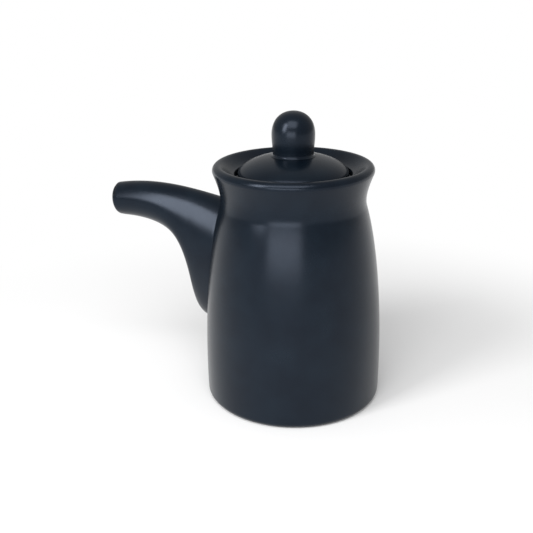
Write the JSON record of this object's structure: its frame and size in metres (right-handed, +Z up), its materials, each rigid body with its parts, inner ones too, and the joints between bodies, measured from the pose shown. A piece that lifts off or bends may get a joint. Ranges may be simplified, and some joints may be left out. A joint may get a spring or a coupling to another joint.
{
  "type": "sauce pot",
  "caption": "Small glazed ceramic sauce pot with a tall side spout, a flared rim and a loose domed lid with a round knob.",
  "frame": {"origin": "centre of the flat foot, on the axis of the body", "axes": "+Z up along the axis of the body and lid, -X towards the spout's mouth, and the XZ plane is the plane of mirror symmetry"},
  "size_m": [0.1052, 0.0652, 0.1062],
  "materials": {
    "body_glaze": "satin black glaze with a blue cast",
    "lid_glaze": "satin black glaze with a blue cast"
  },
  "bodies": {
    "pot": {"pot_body": "body_glaze", "spout": "body_glaze"},
    "lid": {"lid": "lid_glaze", "lid_knob": "lid_glaze"}
  },
  "joints": [
    {"name": "lid_lift", "type": "slide", "parent": "pot", "child": "lid", "axis": [0, 0, 1], "range_m": [0, 0.04]}
  ]
}
